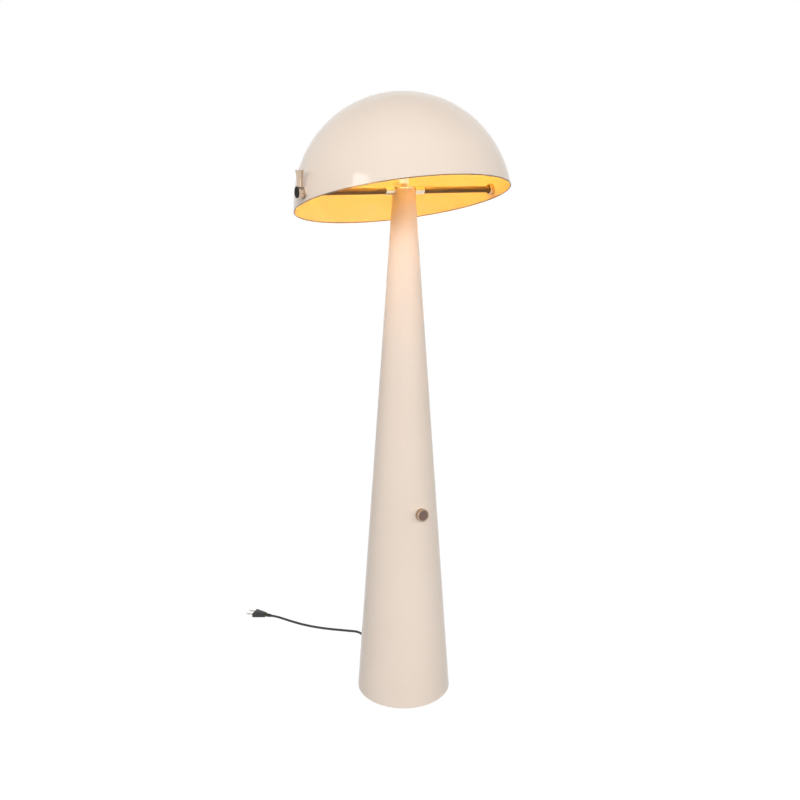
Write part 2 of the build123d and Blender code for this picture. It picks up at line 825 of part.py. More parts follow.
def strain_relief():
    """Rubber gland in the wall with a tapered boot along the cord."""
    nut_inner, _, flange_outer, tip = gland_stations()
    top = 2 * outlet_height
    cone_solid = lathe((0, 0), (foot_radius, 0), (cone_radius(top), top), (0, top))
    flange = outlet_rod(gland_flange_radius, notch_depth, flange_outer)
    outer_edge = flange.edges().filter_by(GeomType.CIRCLE).sort_by(Axis.Y)[-1]
    flange = fillet(outer_edge, 0.3 * gland_flange_thickness) - cone_solid
    root = Plane(origin=(0, flange_outer - 1, outlet_height), z_dir=(0, 1, 0))
    boot = root * Cone(boot_root_radius, boot_tip_radius, tip - flange_outer + 1, align=standing)
    gland = flange + boot + outlet_rod(gland_neck_radius, nut_inner, flange_outer)
    return gland - outlet_rod(cord_radius + running_clearance, nut_inner - 1, tip + 1)


def gland_nut():
    """Nut on the gland inside the wall."""
    nut_inner, nut_outer, _, _ = gland_stations()
    nut = outlet_rod(gland_nut_radius, nut_inner, nut_outer)
    return nut - outlet_rod(gland_neck_radius + thread_clearance, 0, nut_outer + 1)


def terminal_block():
    """Block on the weight where the cord meets the leads to the dimmer and the lamp."""
    on_weight = (Align.CENTER, Align.MAX, Align.MIN)
    block = Box(block_length, block_width, block_height, align=on_weight)
    block = fillet(block.edges().filter_by(Axis.Z), 0.1 * block_width)
    block = Pos(0, block_back, weight_top) * block
    seat, top = block_screw_seat(), 2 * weight_top
    for x, y in block_screw_places():
        block -= rod(clamp_screw_radius + assembly_clearance, (x, y, 0), (x, y, top))
        block -= rod(screw_head_radius + assembly_clearance, (x, y, seat), (x, y, top))
    return block


def block_screw_seat():
    """Height at which the heads of the block's screws rest."""
    return weight_top + 0.4 * block_height


def block_screw_places():
    """Where the terminal block is screwed to the weight."""
    x = block_length / 2 - 1.5 * screw_head_radius
    y = block_back - block_width / 2
    return [(-x, y), (x, y)]


def clamp_screw_places():
    """Where the cord clamp is screwed to the weight."""
    y = clamp_middle()
    return [(-clamp_screw_spacing, y), (clamp_screw_spacing, y)]


def clamp_middle():
    """How far behind the lamp's axis the cord clamp lies."""
    return block_back + clamp_length / 2 + clamp_gap


def inner_cord_height():
    """Height of the cord's centre where it lies on the weight."""
    return weight_top + cord_radius + seat_gap


def cord_clamp():
    """Saddle over the cord, screwed down on both sides."""
    y, height = clamp_middle(), inner_cord_height()
    hump, channel = cord_radius + clamp_bar_thickness, cord_radius + running_clearance
    rise = height - weight_top
    seat = Pos(0, y, weight_top)
    clamp = seat * Box(2 * clamp_half_width, clamp_length, clamp_bar_thickness, align=standing)
    clamp += rod(hump, (0, y - clamp_length / 2, height), (0, y + clamp_length / 2, height))
    clamp += seat * Box(2 * hump, clamp_length, rise, align=standing)
    clamp -= seat * Box(2 * foot_radius, foot_radius, weight_top, align=hanging)
    clamp -= rod(channel, (0, 0, height), (0, foot_radius, height))
    clamp -= seat * Box(2 * channel, foot_radius, rise, align=standing)
    for x, row in clamp_screw_places():
        clamp -= rod(clamp_screw_radius + assembly_clearance, (x, row, 0), (x, row, 2 * weight_top))
    return clamp


def headed_screw(x, y, seat):
    """Pan-headed screw into the weight, its head resting at a height."""
    shank = rod(clamp_screw_radius, (x, y, weight_top - screw_depth + seat_gap), (x, y, seat))
    head = rod(screw_head_radius, (x, y, seat), (x, y, seat + screw_head_height))
    head = fillet(head.edges().filter_by(GeomType.CIRCLE).sort_by(Axis.Z)[-1], 0.4 * screw_head_height)
    return shank + head


def clamp_screws():
    """The cord clamp's two screws."""
    seat = weight_top + clamp_bar_thickness
    return Compound(children=[headed_screw(x, y, seat) for x, y in clamp_screw_places()])


def block_screws():
    """The terminal block's two screws."""
    return Compound(children=[headed_screw(x, y, block_screw_seat()) for x, y in block_screw_places()])


def plain_tube(points, radius, name):
    """A tube of straight runs joined by tangent arcs, each as large as its two runs allow."""
    points = [Vector(*point) for point in points]
    runs = [b - a for a, b in zip(points, points[1:])]
    radii = []
    for before, after in zip(runs, runs[1:]):
        half_turn = math.radians(before.get_angle(after)) / 2
        radii.append(0.45 * min(before.length, after.length) / math.tan(half_turn))
    path = FilletPolyline(*points, radius=radii)
    section = Plane(origin=points[0], z_dir=runs[0]) * Circle(radius)
    tube = sweep(section, path=path)
    print(name, "bends", [round(r) for r in radii])
    report_tube(name, tube, path, radius)
    return tube


def report_tube(name, tube, path, radius):
    """Prints a tube's length, and its volume as a share of what its length and radius give."""
    share = tube.volume / (math.pi * radius**2 * path.length)
    print(name, "length", round(path.length, 1), "volume share", round(share, 4))


def inner_cord():
    """The cord inside the lamp, from the boot's tip through the gland to the terminal block."""
    height = inner_cord_height()
    route = [
        lead_route[0],
        (0, bore_radius(outlet_height) - inner_cord_straight, outlet_height),
        (0, clamp_middle() + inner_cord_fall, height),
        (0, block_back, height),
    ]
    return plain_tube(route, cord_radius, "inner_cord")


def lamp_lead():
    """Lead from the terminal block into the tie tube and up to the lampholder."""
    front = block_back - block_width
    height = lead_height()
    route = [(0, front, height), (0, 0, height), (0, 0, skirt_base - holder_wall)]
    path = FilletPolyline(*route, radius=lead_bend)
    return sweep(Plane(origin=route[0], z_dir=(0, -1, 0)) * Circle(lead_radius), path=path)


def dimmer_lead():
    """Lead from the terminal block up the inside of the cone to the dimmer."""
    outlet = Vector(block_length / 2, block_back - block_width / 2, weight_top + 0.75 * block_height)
    inlet = dimmer_plane * Pos(0, -dimmer_body_height / 2, -dimmer_front() - dimmer_body_depth / 2)
    end = Vector(*inlet.position)
    below = end - dimmer_plane.y_dir * dimmer_lead_straight
    rise = [outlet + Vector(*offset) for offset in dimmer_lead_rise]
    route = [outlet, *rise, below + Vector(*dimmer_lead_bend), below, end]
    return plain_tube(route, lead_radius, "dimmer_lead")


def coil_place(quarter):
    """Centre of the coiled cord after a number of quarter turns: it winds in, climbs, and winds out."""
    steps = min(quarter, coil_quarter_turns - quarter)
    radius = coil_radius - steps * (2 * cord_radius + coil_gap) / 4
    climb = min(max((quarter - coil_quarter_turns / 2 + 1) / 2, 0), 1)
    angle = math.pi - quarter * math.pi / 2
    x, y = coil_start[0] + coil_radius, coil_start[1]
    return Vector(
        x + radius * math.cos(angle),
        y + radius * math.sin(angle),
        cord_floor + climb * (coil_top - cord_floor),
    )


def coil_direction(quarter):
    """Unit tangent of the coil's centre line. Where the spiral turns over it is the mean of both sides."""
    step = 0.02
    before = coil_place(max(quarter - step, 0))
    after = coil_place(min(quarter + step, coil_quarter_turns))
    if quarter in (0, coil_quarter_turns):
        return Vector(0, 1, 0)
    return (after - before).normalized()


def biarc(start, start_way, end, end_way):
    """Two tangent arcs from one point and direction to another."""
    chord = end - start
    ways = start_way + end_way
    lean = chord.dot(ways)
    spread = 2 * (1 - start_way.dot(end_way))
    reach = (math.sqrt(lean**2 + spread * chord.dot(chord)) - lean) / spread
    first, last = start + start_way * reach, end - end_way * reach
    middle = (first + last) * 0.5
    return [
        TangentArc(start, middle, tangent=start_way),
        TangentArc(middle, end, tangent=(last - first).normalized()),
    ]


def cord_coil():
    """The put-away length of the cord, wound in two layers as one unbroken tube."""
    places = [coil_place(q) for q in range(coil_quarter_turns + 1)]
    ways = [coil_direction(q) for q in range(coil_quarter_turns + 1)]
    straight = Vector(0, 2 * cord_radius, 0)
    edges = [Line(places[0] - straight, places[0])]
    for index in range(coil_quarter_turns):
        edges += biarc(places[index], ways[index], places[index + 1], ways[index + 1])
    edges.append(Line(places[-1], places[-1] + straight))
    path = Wire([edge.edge() if hasattr(edge, "edge") else edge for edge in edges])
    section = Plane(origin=places[0] - straight, z_dir=(0, 1, 0)) * Circle(cord_radius)
    coil = sweep(section, path=path)
    report_tube("cord_coil", coil, path, cord_radius)
    print("cord_coil least gap", round(least_gap(path), 2))
    return coil


def least_gap(path):
    """Least gap of a coiled tube to itself, measured between points well apart along it."""
    step = cord_radius
    count = int(path.length / step)
    points = [path.position_at(i / count) for i in range(count + 1)]
    apart = int(4 * math.pi * cord_radius / step)
    gaps = [(a - b).length for i, a in enumerate(points) for b in points[i + apart :]]
    return min(gaps) - 2 * cord_radius


def plug_plane():
    """The plug's own plane: its origin where the cord enters, X up and Z along the cord."""
    before, end = Vector(*run_route[-2]), Vector(*run_route[-1])
    return Plane(origin=end, x_dir=(0, 0, 1), z_dir=end - before)


def plug_body():
    """Flat two-pin plug with its flexible boot, lying on the floor."""
    plane = plug_plane()
    half, nose = plug_width / 2, plug_nose_width / 2
    outline = Polyline(
        (-plug_thickness / 2, -nose, 0),
        (-plug_thickness / 2, nose, 0),
        (0, half, 0),
        (plug_thickness / 2, nose, 0),
        (plug_thickness / 2, -nose, 0),
        (0, -half, 0),
        close=True,
    )
    base = Pos(0, 0, plug_boot_length + plug_length) * make_face(outline)
    waist = Pos(0, 0, plug_boot_length) * scale(make_face(outline), by=(0.72, 0.5, 1))
    body = loft([waist, base])
    tip = cord_radius + plug_boot_tip_wall
    body += Cone(tip, plug_boot_radius, plug_boot_length + 1, align=standing)
    return plane * body


def plug_pins():
    """The plug's two round pins."""
    plane = plug_plane()
    foot = plug_boot_length + plug_length
    pins = []
    for side in (-1, 1):
        pin = Cylinder(pin_radius, pin_length, align=standing)
        pin = fillet(pin.edges().filter_by(GeomType.CIRCLE).sort_by(Axis.Z)[-1], 0.4 * pin_radius)
        pins.append(plane * (Pos(0, side * pin_spacing / 2, foot) * pin))
    return Compound(children=pins)


def write(name, part):
    """Writes one node's STEP file."""
    export_step(part, f"parts/{name}.step")


def main():
    """Builds and writes every node."""
    os.makedirs("parts", exist_ok=True)
    pieces = {
        "cone_shell": cone_shell(),
        "base_weight": base_weight(),
        "foot_pad": foot_pad(),
        "tie_washer": tie_washer(),
        "tie_nut": tie_nut(),
        "tie_tube": tie_tube(),
        "head_block": head_block(),
        "grub_screws": grub_screws(),
        "shade_dome": tilted(shade_dome()),
        "rim_trim": tilted(rim_trim()),
        "friction_washers": both(friction_washer),
        "thrust_washers": both(thrust_washer),
        "hub_bolts": both(hub_bolt),
        "hub_nuts": both(hub_nut),
        "pivot_bushes": both(pivot_bush),
        "lamp_nipple": lamp_nipple(),
        "nipple_nut": nipple_nut(),
        "holder_cup": holder_cup(),
        "holder_skirt": holder_skirt_shell(),
        "holder_core": holder_core(),
        "holder_socket": holder_socket(),
        "bulb_cap": bulb_cap(),
        "bulb_glass": bulb_glass(),
        "bulb_stem": bulb_stem(),
        "bulb_filaments": bulb_filaments(),
        "dimmer_body": dimmer_body(),
        "dimmer_washer": dimmer_washer(),
        "dimmer_nut": dimmer_nut(),
        "dimmer_shaft": dimmer_shaft(),
        "dimmer_knob": dimmer_knob(),
        "dimmer_cap": dimmer_cap(),
        "strain_relief": strain_relief(),
        "gland_nut": gland_nut(),
        "terminal_block": terminal_block(),
        "block_screws": block_screws(),
        "cord_clamp": cord_clamp(),
        "clamp_screws": clamp_screws(),
        "inner_cord": inner_cord(),
        "lamp_lead": lamp_lead(),
        "dimmer_lead": dimmer_lead(),
        "cord_lead": plain_tube(lead_route, cord_radius, "cord_lead"),
        "cord_coil": cord_coil(),
        "cord_run": plain_tube(run_route, cord_radius, "cord_run"),
        "plug_body": plug_body(),
        "plug_pins": plug_pins(),
    }
    for name, side in (("left", -1), ("right", 1)):
        pieces[f"bar_collar_{name}"] = bar_collar(side)
        pieces[f"cross_bar_{name}"] = cross_bar(side)
        pieces[f"pivot_stud_{name}"] = pivot_stud(side)
        pieces[f"clamp_knob_{name}"] = clamp_knob(side)
        pieces[f"clamp_lever_{name}"] = clamp_lever(side)
        pieces[f"knob_cap_{name}"] = knob_cap(side)
    for name, part in pieces.items():
        write(name, part)


main()
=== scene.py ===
"""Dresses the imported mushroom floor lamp: cream enamel, bronze and steel fittings, a lit bulb
under the shade, and a black mains cord that lies on the floor behind the foot."""

import logging
import math
from dataclasses import dataclass, field
from enum import Enum
from typing import Callable, Sequence

import bpy
from mathutils import Matrix, Vector


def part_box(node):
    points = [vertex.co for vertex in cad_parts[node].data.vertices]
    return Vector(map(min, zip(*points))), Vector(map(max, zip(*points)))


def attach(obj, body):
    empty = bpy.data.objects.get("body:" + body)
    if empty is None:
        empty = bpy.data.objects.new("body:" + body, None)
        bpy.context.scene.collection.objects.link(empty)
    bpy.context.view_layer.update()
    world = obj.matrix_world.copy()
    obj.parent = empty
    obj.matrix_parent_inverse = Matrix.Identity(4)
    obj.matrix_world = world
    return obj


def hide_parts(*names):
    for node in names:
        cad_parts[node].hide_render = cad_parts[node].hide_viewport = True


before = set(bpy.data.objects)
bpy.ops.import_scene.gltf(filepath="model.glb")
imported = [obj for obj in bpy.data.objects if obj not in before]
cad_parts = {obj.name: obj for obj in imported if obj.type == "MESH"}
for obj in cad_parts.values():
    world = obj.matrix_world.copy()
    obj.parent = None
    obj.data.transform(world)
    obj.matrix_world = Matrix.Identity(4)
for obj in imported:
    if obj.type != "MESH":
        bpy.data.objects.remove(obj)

log = logging.getLogger("lamp")

Point = tuple[float, float, float]
Colour = tuple[float, float, float]
Sockets = dict[str, bpy.types.NodeSocket]

FIXED_BODY = "base"
BAR_MIDDLE: Point = (0.0, 0.0, 1.141)


class Way(Enum):
    """The axis about which a metal piece was turned, as the turns that bring it upright."""

    UPRIGHT = (0.0, 0.0, 0.0)
    CROSSWISE = (0.0, math.pi / 2, 0.0)
    DIMMER = (math.radians(94.24), 0.0, 0.0)


# Shader node groups that several finishes share


class Weave:
    """Builds a shader node tree: adds nodes and joins their sockets."""

    NOISE_RANGE = (0.3, 0.7)

    def __init__(self, tree: bpy.types.NodeTree) -> None:
        """Args:
            tree: The material's or the group's node tree.
        """
        self.tree = tree

    def add(self, kind: str, **values: object) -> bpy.types.Node:
        """Adds a node.

        Args:
            kind: The node's type name, without its Shader Node prefix.
            values: Properties of the node.

        Returns:
            The new node.
        """
        node = self.tree.nodes.new("ShaderNode" + kind)
        for name, value in values.items():
            setattr(node, name, value)
        return node

    def join(self, source: bpy.types.NodeSocket, target: bpy.types.NodeSocket) -> None:
        """Joins two sockets."""
        self.tree.links.new(source, target)

    def noise(
        self, place: bpy.types.NodeSocket, scale: float, detail: float
    ) -> bpy.types.NodeSocket:
        """Adds a noise texture.

        Args:
            place: The coordinates that it reads.
            scale: Its scale, in cells to a metre.
            detail: Its octaves.

        Returns:
            Its grey value.
        """
        node = self.add("TexNoise")
        node.inputs["Scale"].default_value = scale
        node.inputs["Detail"].default_value = detail
        self.join(place, node.inputs["Vector"])
        return node.outputs["Fac"]

    def sum(
        self, kind: str, first: bpy.types.NodeSocket | float, second: bpy.types.NodeSocket | float
    ) -> bpy.types.NodeSocket:
        """Adds a Math node.

        Args:
            kind: The operation.
            first: A socket or a number.
            second: A socket or a number.

        Returns:
            The result.
        """
        node = self.add("Math", operation=kind)
        for socket, value in zip(node.inputs, (first, second)):
            if isinstance(value, (int, float)):
                socket.default_value = value
            else:
                self.join(value, socket)
        return node.outputs[0]

    def spread(self, value: bpy.types.NodeSocket, low: float, high: float) -> bpy.types.NodeSocket:
        """Maps the part of a noise's range that it mostly fills to another range.

        Args:
            value: The noise's grey value.
            low: The result at its low end.
            high: The result at its high end.

        Returns:
            The mapped value.
        """
        node = self.add("MapRange")
        node.inputs["From Min"].default_value, node.inputs["From Max"].default_value = self.NOISE_RANGE
        node.inputs["To Min"].default_value = low
        node.inputs["To Max"].default_value = high
        self.join(value, node.inputs["Value"])
        return node.outputs["Result"]

    def shade(
        self, colour: bpy.types.NodeSocket, amount: bpy.types.NodeSocket, other: Colour
    ) -> bpy.types.NodeSocket:
        """Multiplies a colour by another.

        Args:
            colour: The colour.
            amount: How much of the other colour is taken.
            other: The other colour.

        Returns:
            The mixed colour.
        """
        node = self.add("Mix", data_type="RGBA", blend_type="MULTIPLY")
        self.join(amount, node.inputs["Factor"])
        self.join(colour, node.inputs["A"])
        node.inputs["B"].default_value = (*other, 1.0)
        return node.outputs["Result"]


@dataclass(frozen=True)
class EffectGroup:
    """A shader node group with the inputs Place, Colour, Gloss, Size and Strength."""

    name: str
    weave: Callable[[Weave, Sockets, Sockets], None]

    def tree(self) -> bpy.types.NodeTree:
        """Returns the group, built on its first use."""
        found = bpy.data.node_groups.get(self.name)
        if found is not None:
            return found
        tree = bpy.data.node_groups.new(self.name, "ShaderNodeTree")
        for name, kind in (
            ("Place", "NodeSocketVector"),
            ("Colour", "NodeSocketColor"),
            ("Gloss", "NodeSocketFloat"),
            ("Size", "NodeSocketFloat"),
            ("Strength", "NodeSocketFloat"),
        ):
            tree.interface.new_socket(name=name, in_out="INPUT", socket_type=kind)
        for name, kind in (
            ("Colour", "NodeSocketColor"),
            ("Roughness", "NodeSocketFloat"),
            ("Height", "NodeSocketFloat"),
        ):
            tree.interface.new_socket(name=name, in_out="OUTPUT", socket_type=kind)
        start = tree.nodes.new("NodeGroupInput")
        end = tree.nodes.new("NodeGroupOutput")
        self.weave(Weave(tree), dict(start.outputs.items()), dict(end.inputs.items()))
        return tree


def sprayed_paint(weave: Weave, given: Sockets, made: Sockets) -> None:
    """Sprayed and baked paint: slow drifts of tone and a fine orange peel.

    Args:
        weave: The group's tree.
        given: The group's inputs.
        made: The group's outputs.
    """
    drift = weave.noise(given["Place"], 5.0, 3.0)
    patch = weave.noise(given["Place"], 38.0, 4.0)
    tone = weave.sum("MULTIPLY", weave.spread(drift, 0.0, 1.0), given["Strength"])
    colour = weave.shade(given["Colour"], tone, (0.90, 0.885, 0.865))
    weave.join(colour, made["Colour"])
    rough = weave.sum("MULTIPLY", given["Gloss"], weave.spread(patch, 0.85, 1.2))
    weave.join(rough, made["Roughness"])
    peel = weave.add("TexNoise")
    peel.inputs["Detail"].default_value = 1.0
    weave.join(given["Place"], peel.inputs["Vector"])
    weave.join(given["Size"], peel.inputs["Scale"])
    weave.join(peel.outputs["Fac"], made["Height"])


def lathe_lines(weave: Weave, given: Sockets, made: Sockets) -> None:
    """Turned metal: fine lines round its upright axis, with a little stain between them.

    Args:
        weave: The group's tree.
        given: The group's inputs.
        made: The group's outputs.
    """
    split = weave.add("SeparateXYZ")
    weave.join(given["Place"], split.inputs[0])
    across = weave.sum("MULTIPLY", split.outputs["X"], split.outputs["X"])
    along = weave.sum("MULTIPLY", split.outputs["Y"], split.outputs["Y"])
    reach = weave.sum("SQRT", weave.sum("ADD", across, along), 0.0)
    rings = weave.add("CombineXYZ")
    weave.join(reach, rings.inputs["X"])
    weave.join(split.outputs["Z"], rings.inputs["Y"])
    lines = weave.add("TexNoise")
    lines.inputs["Detail"].default_value = 4.0
    lines.inputs["Roughness"].default_value = 0.7
    weave.join(rings.outputs[0], lines.inputs["Vector"])
    weave.join(given["Size"], lines.inputs["Scale"])
    stain = weave.noise(given["Place"], 90.0, 3.0)
    tone = weave.sum("MULTIPLY", weave.spread(stain, 0.0, 1.0), given["Strength"])
    weave.join(weave.shade(given["Colour"], tone, (0.80, 0.76, 0.72)), made["Colour"])
    rough = weave.sum("MULTIPLY", given["Gloss"], weave.spread(lines.outputs["Fac"], 0.75, 1.3))
    weave.join(rough, made["Roughness"])
    weave.join(lines.outputs["Fac"], made["Height"])


def moulded_grain(weave: Weave, given: Sockets, made: Sockets) -> None:
    """Moulded plastic, rubber or cast metal: an even grain with slow changes of sheen.

    Args:
        weave: The group's tree.
        given: The group's inputs.
        made: The group's outputs.
    """
    grain = weave.add("TexVoronoi", feature="SMOOTH_F1")
    weave.join(given["Place"], grain.inputs["Vector"])
    weave.join(given["Size"], grain.inputs["Scale"])
    sheen = weave.noise(given["Place"], 70.0, 3.0)
    tone = weave.sum("MULTIPLY", weave.spread(sheen, 0.0, 1.0), given["Strength"])
    weave.join(weave.shade(given["Colour"], tone, (0.66, 0.66, 0.68)), made["Colour"])
    rough = weave.sum("MULTIPLY", given["Gloss"], weave.spread(sheen, 0.9, 1.12))
    weave.join(rough, made["Roughness"])
    weave.join(grain.outputs["Distance"], made["Height"])


PAINT = EffectGroup("sprayed_paint", sprayed_paint)
LATHE = EffectGroup("lathe_lines", lathe_lines)
GRAIN = EffectGroup("moulded_grain", moulded_grain)


# Finishes


@dataclass(frozen=True)
class Finish:
    """A surface of the lamp, with its shader's fixed values.

    The base colour, the roughness and the bump vary over the surface by the effect group.
    """

    name: str
    colour: Colour
    gloss: float
    effect: EffectGroup
    size: float
    strength: float = 0.5
    bump: float = 0.00002
    metal: float = 0.0
    index: float = 1.5
    way: Way = Way.UPRIGHT
    middle: Point = (0.0, 0.0, 0.0)
    glow: float = 0.0
    clear: float = 0.0

    def material(self) -> bpy.types.Material:
        """Returns the finish's material, built on its first use."""
        label = f"{self.name}_finish"
        found = bpy.data.materials.get(label)
        if found is not None:
            return found
        material = bpy.data.materials.new(label)
        material.use_nodes = True
        tree = material.node_tree
        tree.nodes.clear()
        weave = Weave(tree)
        place = weave.add("TexCoord").outputs["Object"]
        turn = weave.add("Mapping", vector_type="TEXTURE")
        turn.inputs["Location"].default_value = self.middle
        turn.inputs["Rotation"].default_value = self.way.value
        weave.join(place, turn.inputs["Vector"])
        group = weave.add("Group", node_tree=self.effect.tree())
        weave.join(turn.outputs[0], group.inputs["Place"])
        group.inputs["Colour"].default_value = (*self.colour, 1.0)
        group.inputs["Gloss"].default_value = self.gloss
        group.inputs["Size"].default_value = self.size
        group.inputs["Strength"].default_value = self.strength
        shader = weave.add("BsdfPrincipled")
        shader.inputs["Metallic"].default_value = self.metal
        shader.inputs["IOR"].default_value = self.index
        shader.inputs["Transmission Weight"].default_value = self.clear
        weave.join(group.outputs["Colour"], shader.inputs["Base Color"])
        weave.join(group.outputs["Roughness"], shader.inputs["Roughness"])
        if self.glow:
            weave.join(group.outputs["Colour"], shader.inputs["Emission Color"])
            shader.inputs["Emission Strength"].default_value = self.glow
        if self.bump:
            bump = weave.add("Bump")
            bump.inputs["Distance"].default_value = self.bump
            bump.inputs["Strength"].default_value = 1.0
            weave.join(group.outputs["Height"], bump.inputs["Height"])
            weave.join(bump.outputs["Normal"], shader.inputs["Normal"])
        end = weave.add("OutputMaterial")
        weave.join(shader.outputs[0], end.inputs["Surface"])
        return material


def dress(finish: Finish, *names: str) -> None:
    """Gives CAD nodes a finish.

    Args:
        finish: The finish.
        names: The nodes.
    """
    for name in names:
        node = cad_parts[name]
        if not node.material_slots:
            node.data.materials.append(None)
        for slot in node.material_slots:
            slot.material = finish.material()


def node_middle(name: str) -> Point:
    """Returns the middle of a CAD node's box, in metres."""
    low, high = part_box(name)
    return tuple((a + b) / 2 for a, b in zip(low, high))


# Modelling


class Bench:
    """Blender's modelling operators, in the order that a piece is made by hand."""

    @staticmethod
    def clear() -> None:
        """Leaves edit mode and deselects every object."""
        if bpy.context.mode != "OBJECT":
            bpy.ops.object.mode_set(mode="OBJECT")
        bpy.ops.object.select_all(action="DESELECT")

    @staticmethod
    def turned(name: str, rings: Sequence[tuple[float, float]], sides: int) -> bpy.types.Object:
        """Draws a closed form up from a circle, ring by ring, about the upright axis.

        Args:
            name: The piece's name.
            rings: (radius, height) of each ring in metres, from the first to the last.
            sides: The number of sides of each ring.

        Returns:
            The piece.
        """
        Bench.clear()
        radius, height = rings[0]
        bpy.ops.mesh.primitive_circle_add(
            vertices=sides, radius=radius, fill_type="NGON", location=(0, 0, height)
        )
        piece = bpy.context.object
        piece.name = name
        bpy.ops.object.transform_apply(location=True, rotation=True, scale=True)
        bpy.ops.object.mode_set(mode="EDIT")
        bpy.ops.mesh.select_all(action="SELECT")
        for next_radius, next_height in rings[1:]:
            bpy.ops.mesh.extrude_region_move(
                TRANSFORM_OT_translate={"value": (0, 0, next_height - height)}
            )
            share = next_radius / radius
            bpy.ops.transform.resize(value=(share, share, 1), center_override=(0, 0, next_height))
            radius, height = next_radius, next_height
        bpy.ops.mesh.select_all(action="SELECT")
        bpy.ops.mesh.normals_make_consistent(inside=False)
        bpy.ops.object.mode_set(mode="OBJECT")
        return piece

    @staticmethod
    def smooth(piece: bpy.types.Object, angle: float = 40.0) -> None:
        """Shades a piece smooth, apart from its corners.

        Args:
            piece: The piece.
            angle: The least turn, in degrees, that stays a corner.
        """
        Bench.clear()
        piece.select_set(True)
        bpy.context.view_layer.objects.active = piece
        bpy.ops.object.shade_smooth_by_angle(angle=math.radians(angle))

    @staticmethod
    def place(piece: bpy.types.Object, matrix: Matrix) -> None:
        """Moves a piece to its place and applies the place to its mesh."""
        Bench.clear()
        piece.matrix_world = matrix
        piece.select_set(True)
        bpy.context.view_layer.objects.active = piece
        bpy.ops.object.transform_apply(location=True, rotation=True, scale=True)

    @staticmethod
    def join(pieces: Sequence[bpy.types.Object], name: str) -> bpy.types.Object:
        """Joins pieces into one.

        Args:
            pieces: The pieces.
            name: The name of the joined piece.

        Returns:
            The joined piece.
        """
        Bench.clear()
        for piece in pieces:
            piece.select_set(True)
        bpy.context.view_layer.objects.active = pieces[0]
        if len(pieces) > 1:
            bpy.ops.object.join()
        joined = bpy.context.object
        joined.name = name
        return joined

    @staticmethod
    def finish(
        piece: bpy.types.Object, finish: Finish, body: str, slot: str, replaced: Sequence[str] = ()
    ) -> None:
        """Gives a new piece its finish, the body that it rides on and the CAD nodes it stands for.

        Args:
            piece: The piece.
            finish: Its finish.
            body: The body.
            slot: The record's material slot; not used.
            replaced: The CAD nodes that it replaces.
        """
        piece.data.materials.clear()
        piece.data.materials.append(finish.material())
        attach(piece, body)
        if replaced:
            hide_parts(*replaced)
        log.info("%s rides on %s and replaces %s", piece.name, body, replaced or "nothing")


# The lamp


@dataclass
class Column:
    """The tall cone with its foot, head and what is fixed inside it."""

    enamel: Finish = Finish(
        "cream_enamel", (0.88, 0.755, 0.65), 0.055, PAINT, 650.0, 0.35, 0.000002, index=1.3
    )
    iron: Finish = Finish("cast_iron", (0.10, 0.10, 0.105), 0.62, GRAIN, 900.0, 0.6, 0.00025)
    rubber: Finish = Finish("black_rubber", (0.022, 0.022, 0.023), 0.6, GRAIN, 1800.0, 0.5, 0.00006)
    steel: Finish = Finish("plain_steel", (0.56, 0.55, 0.54), 0.3, LATHE, 1600.0, 0.6, 0.00001, 1.0)
    nylon: Finish = Finish("white_nylon", (0.74, 0.72, 0.66), 0.42, GRAIN, 2400.0, 0.3, 0.00002)
    black: Finish = Finish("black_plastic", (0.02, 0.02, 0.021), 0.4, GRAIN, 2600.0, 0.5, 0.00003)
    sheath: Finish = Finish("lead_sheath", (0.72, 0.71, 0.68), 0.42, GRAIN, 1500.0, 0.3, 0.00003)

    def build(self) -> None:
        """Dresses the column and the pieces inside it."""
        dress(self.enamel, "cone_shell")
        dress(self.iron, "base_weight")
        dress(self.rubber, "foot_pad", "inner_cord")
        dress(
            self.steel,
            "tie_washer",
            "tie_nut",
            "tie_tube",
            "grub_screws",
            "block_screws",
            "clamp_screws",
            "dimmer_washer",
            "dimmer_nut",
        )
        dress(self.nylon, "terminal_block", "cord_clamp")
        dress(self.black, "dimmer_body", "gland_nut")
        dress(self.sheath, "lamp_lead", "dimmer_lead")
        log.info("column dressed")


@dataclass
class CrossBar:
    """The two halves of the cross bar with their collars, and the head that holds them."""

    lacquer: Finish = Finish(
        "black_lacquer", (0.23, 0.18, 0.13), 0.35, LATHE, 1400.0, 0.4, 0.000004, index=1.2,
        way=Way.CROSSWISE, middle=BAR_MIDDLE,
    )
    brass: Finish = Finish(
        "pale_brass", (0.86, 0.74, 0.52), 0.16, LATHE, 1500.0, 0.4, 0.000004, 1.0, way=Way.CROSSWISE,
        middle=BAR_MIDDLE,
    )
    cap: Finish = Finish("pale_brass_cap", (0.86, 0.74, 0.52), 0.2, LATHE, 1500.0, 0.4, 0.000004, 1.0)

    def build(self) -> None:
        """Dresses the bar, the collars and the head."""
        dress(self.lacquer, "cross_bar_left", "cross_bar_right")
        dress(self.brass, "bar_collar_left", "bar_collar_right")
        dress(self.cap, "head_block")
        log.info("cross bar dressed")


